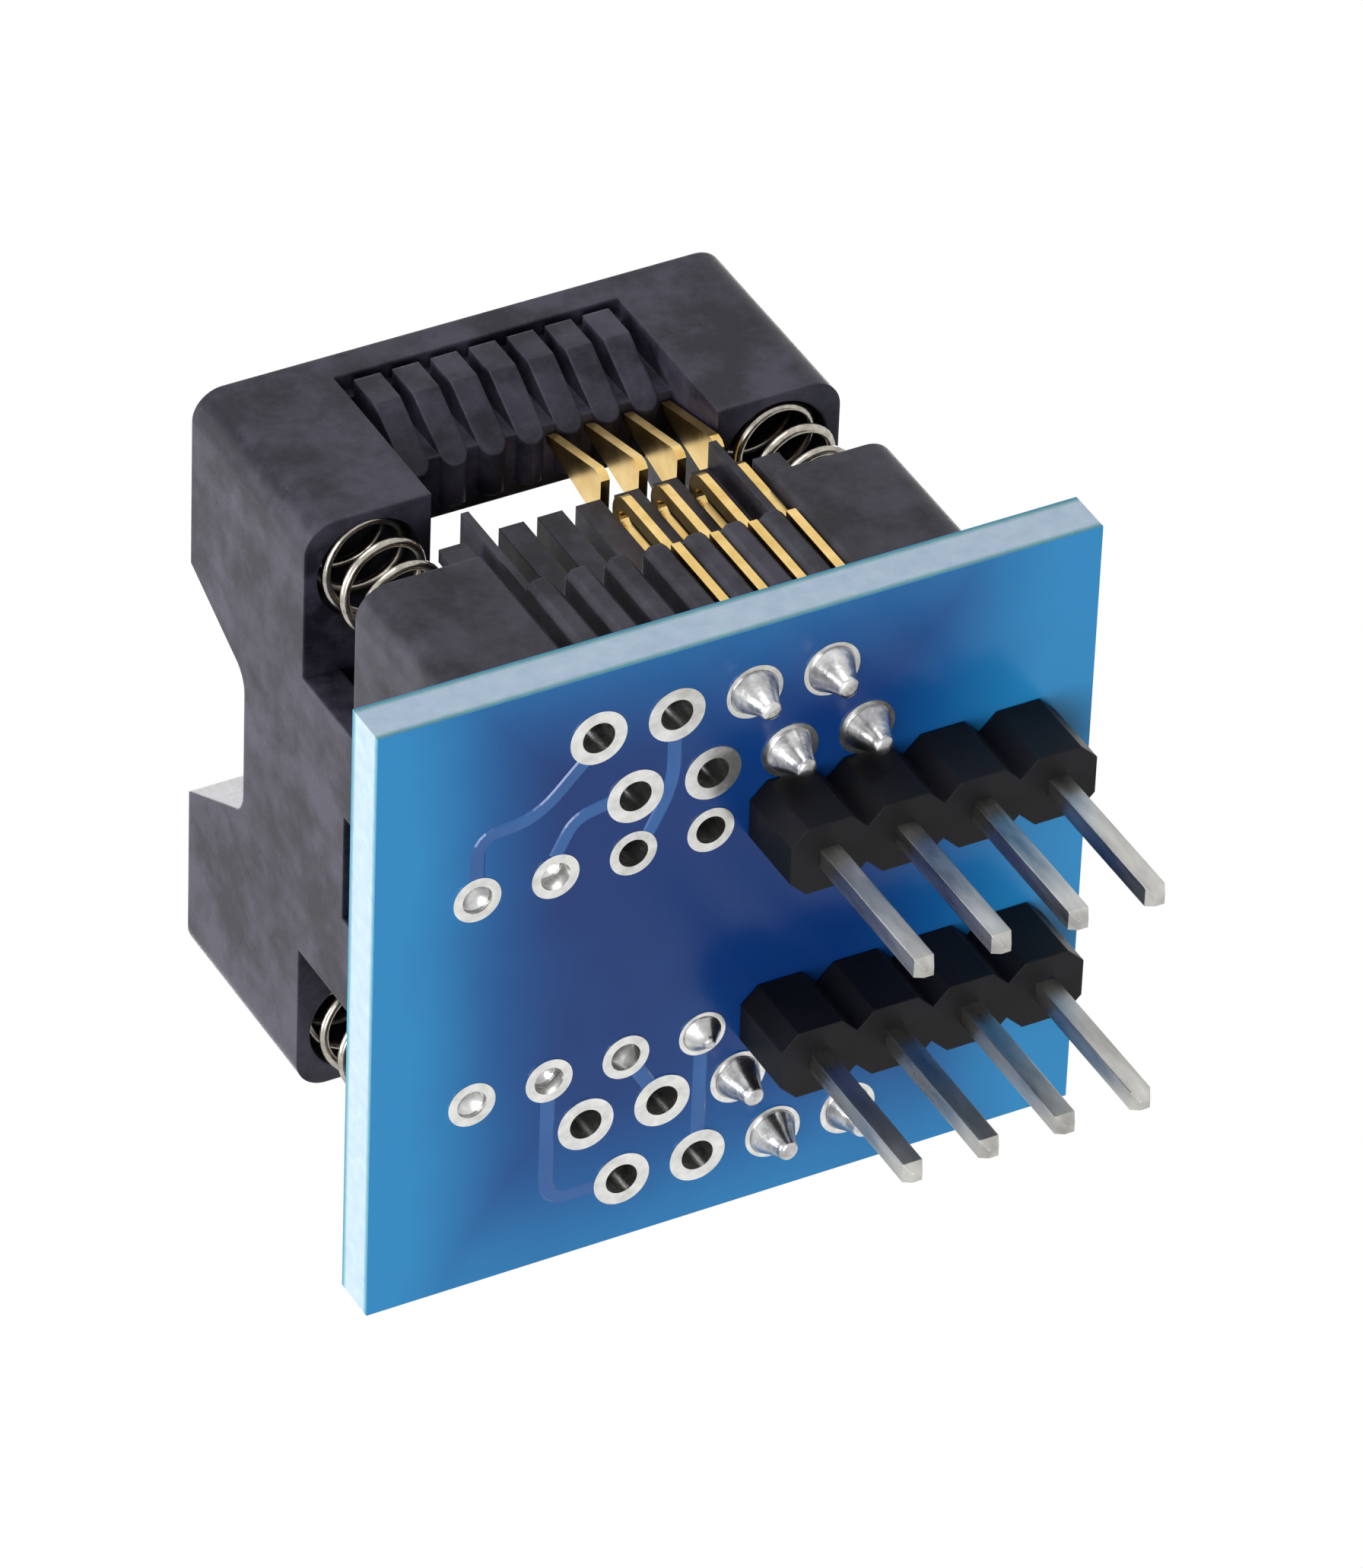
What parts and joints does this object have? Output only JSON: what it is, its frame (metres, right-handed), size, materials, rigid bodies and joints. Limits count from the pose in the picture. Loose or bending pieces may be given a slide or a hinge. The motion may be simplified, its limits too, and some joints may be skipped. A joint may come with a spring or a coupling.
{
  "type": "ic socket",
  "caption": "Open-top test socket for small-outline chips, with a sprung cover frame over gold spring contacts, on a blue adapter board with square header pins.",
  "frame": {"origin": "centre of the eight-pin header field, in the plane of the headers' undersides, where the part seats on the board or socket that it plugs into", "axes": "+Z from the pins up to the cover, X along the two pin rows and the two contact rows, Y across them; the pins stand towards +X of the socket"},
  "size_m": [0.0237, 0.0214, 0.0261],
  "materials": {
    "cover_plastic": "dark grey moulded thermoset, satin, lightly speckled",
    "base_plastic": "black grey moulded thermoset, satin",
    "contact_gold": "gold plated spring copper, bright",
    "spring_steel": "bright drawn wire",
    "board_mask": "glossy blue solder mask over glass fibre laminate",
    "land_tin": "tinned copper",
    "header_plastic": "black moulded nylon",
    "pin_tin": "tin plated brass, satin",
    "solder": "bright solder"
  },
  "bodies": {
    "socket_body": {"base": "base_plastic", "board": "board_mask", "hole_plating": "land_tin", "contact_1": "contact_gold", "contact_2": "contact_gold", "contact_3": "contact_gold", "contact_4": "contact_gold", "contact_5": "contact_gold", "contact_6": "contact_gold", "contact_7": "contact_gold", "contact_8": "contact_gold", "spring_1": "spring_steel", "spring_2": "spring_steel", "spring_3": "spring_steel", "spring_4": "spring_steel", "header_front": "header_plastic", "header_back": "header_plastic", "pin_1": "pin_tin", "pin_2": "pin_tin", "pin_3": "pin_tin", "pin_4": "pin_tin", "pin_5": "pin_tin", "pin_6": "pin_tin", "pin_7": "pin_tin", "pin_8": "pin_tin", "contact_solder": "solder", "pin_solder": "solder"},
    "cover_frame": {"cover": "cover_plastic"}
  },
  "joints": [
    {"name": "cover_press", "type": "slide", "parent": "socket_body", "child": "cover_frame", "axis": [0, 0, -1], "range_m": [0, 0.002], "stiffness_N_per_m": 3000, "springref_m": -0.001, "deforming": ["spring_1", "spring_2", "spring_3", "spring_4", "contact_1", "contact_2", "contact_3", "contact_4", "contact_5", "contact_6", "contact_7", "contact_8"]}
  ]
}
